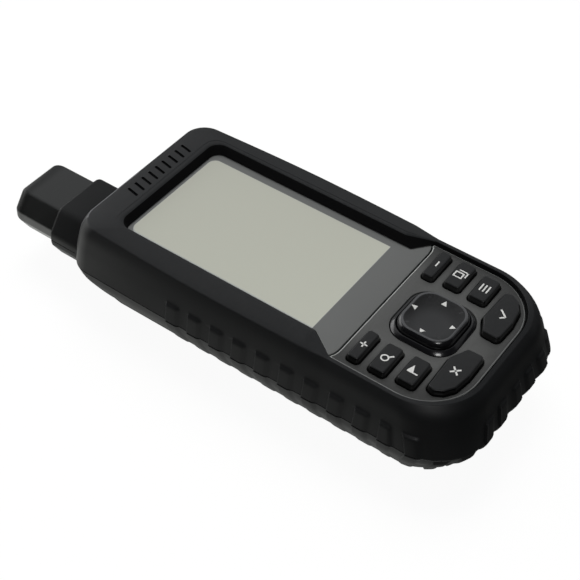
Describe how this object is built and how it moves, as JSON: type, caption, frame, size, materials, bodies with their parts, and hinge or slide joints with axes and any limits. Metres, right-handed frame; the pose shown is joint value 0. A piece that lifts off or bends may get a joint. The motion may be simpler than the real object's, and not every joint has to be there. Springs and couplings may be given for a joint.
{
  "type": "handheld satellite navigator",
  "caption": "Handheld satellite navigator with a screen, a button keypad, a four-way rocker and a stub antenna, in a ribbed black silicone sleeve.",
  "frame": {"origin": "on the rest plane of the sleeve's back, under the middle of the whole unit", "axes": "+X to the user's right, +Y to the antenna end, +Z out of the screen"},
  "size_m": [0.0688, 0.168, 0.0376],
  "materials": {
    "silicone": "matte moulded silicone",
    "housing": "fine texture",
    "radome": "fine texture",
    "panel": "satin",
    "lens": "polished",
    "lcd": "grey reflective display",
    "key": "satin",
    "rocker_gloss": "polished",
    "seal": "matte",
    "board": "solder mask",
    "steel": "plated",
    "contact": "plated",
    "white": "moulded",
    "cell": "shrink sleeve",
    "ceramic": "fired",
    "clear": "polished"
  },
  "bodies": {
    "unit": {"silicone_sleeve": "silicone", "front_housing": "housing", "rear_housing": "housing", "housing_gasket": "seal", "housing_screw_1": "steel", "housing_screw_2": "steel", "housing_screw_3": "steel", "housing_screw_4": "steel", "housing_screw_5": "steel", "housing_screw_6": "steel", "keypad_panel": "panel", "display_lens": "lens", "lcd_module": "lcd", "backlight": "white", "key_membrane": "seal", "dome_switch_sheet": "steel", "main_board": "board", "radio_shield_can": "steel", "gps_module": "steel", "buzzer": "housing", "card_socket": "steel", "pressure_sensor": "white", "usb_port": "steel", "power_switch": "steel", "torch_lens": "clear", "torch_led": "white", "antenna_radome": "radome", "antenna_helix_core": "ceramic", "antenna_helix_wire": "contact", "antenna_base_board": "board", "antenna_coax": "steel", "cell_contact_left": "contact", "cell_contact_right": "contact", "cell_spring_left": "steel", "cell_spring_right": "steel", "mounting_spine": "housing"},
    "key_zoom_in": {"key_zoom_in": "key"},
    "key_zoom_out": {"key_zoom_out": "key"},
    "key_find": {"key_find": "key"},
    "key_page": {"key_page": "key"},
    "key_mark": {"key_mark": "key"},
    "key_menu": {"key_menu": "key"},
    "key_quit": {"key_quit": "key"},
    "key_enter": {"key_enter": "key"},
    "rocker_post": {"rocker_pivot": "white"},
    "rocker": {"rocker_cap": "key", "rocker_trim_ring": "rocker_gloss"},
    "power_key": {"power_button": "seal"},
    "weather_cap": {"usb_weather_cap": "seal"},
    "door": {"battery_door": "housing"},
    "latch": {"door_latch": "housing"},
    "ring": {"latch_d_ring": "steel"},
    "cells": {"aa_cell_left": "cell", "aa_cell_right": "cell"}
  },
  "joints": [
    {"name": "key_zoom_in_press", "type": "slide", "parent": "unit", "child": "key_zoom_in", "axis": [0, 0, -1], "range_m": [0, 0.0006]},
    {"name": "key_zoom_out_press", "type": "slide", "parent": "unit", "child": "key_zoom_out", "axis": [0, 0, -1], "range_m": [0, 0.0006]},
    {"name": "key_find_press", "type": "slide", "parent": "unit", "child": "key_find", "axis": [0, 0, -1], "range_m": [0, 0.0006]},
    {"name": "key_page_press", "type": "slide", "parent": "unit", "child": "key_page", "axis": [0, 0, -1], "range_m": [0, 0.0006]},
    {"name": "key_mark_press", "type": "slide", "parent": "unit", "child": "key_mark", "axis": [0, 0, -1], "range_m": [0, 0.0006]},
    {"name": "key_menu_press", "type": "slide", "parent": "unit", "child": "key_menu", "axis": [0, 0, -1], "range_m": [0, 0.0006]},
    {"name": "key_quit_press", "type": "slide", "parent": "unit", "child": "key_quit", "axis": [0, 0, -1], "range_m": [0, 0.0006]},
    {"name": "key_enter_press", "type": "slide", "parent": "unit", "child": "key_enter", "axis": [0, 0, -1], "range_m": [0, 0.0006]},
    {"name": "rocker_tilt_up_down", "type": "hinge", "parent": "unit", "child": "rocker_post", "pos_m": [0.0001, -0.0546, 0.033], "axis": [1, 0, 0], "range_deg": [-3, 3]},
    {"name": "rocker_tilt_left_right", "type": "hinge", "parent": "rocker_post", "child": "rocker", "pos_m": [0.0001, -0.0546, 0.033], "axis": [0, 1, 0], "range_deg": [-3, 3]},
    {"name": "power_key_press", "type": "slide", "parent": "unit", "child": "power_key", "axis": [-1, 0, 0], "range_m": [0, 0.0006]},
    {"name": "weather_cap_hinge", "type": "hinge", "parent": "unit", "child": "weather_cap", "pos_m": [0.0309, 0.0294, 0.027], "axis": [0, 0, 1], "range_deg": [0, 90]},
    {"name": "battery_door_lift", "type": "slide", "parent": "unit", "child": "door", "axis": [0, 0, -1], "range_m": [0, 0.03]},
    {"name": "door_latch_turn", "type": "hinge", "parent": "door", "child": "latch", "pos_m": [0, -0.059, 0.0021], "axis": [0, 0, 1], "range_deg": [0, 90]},
    {"name": "d_ring_flip", "type": "hinge", "parent": "latch", "child": "ring", "pos_m": [0, -0.059, 0.00135], "axis": [-1, 0, 0], "range_deg": [0, 90]},
    {"name": "cells_lift", "type": "slide", "parent": "unit", "child": "cells", "axis": [0, 0, -1], "range_m": [0, 0.012]}
  ],
  "couplings": [
    {"joint": "cells_lift", "follows": "battery_door_lift", "ratio": 0.4}
  ]
}
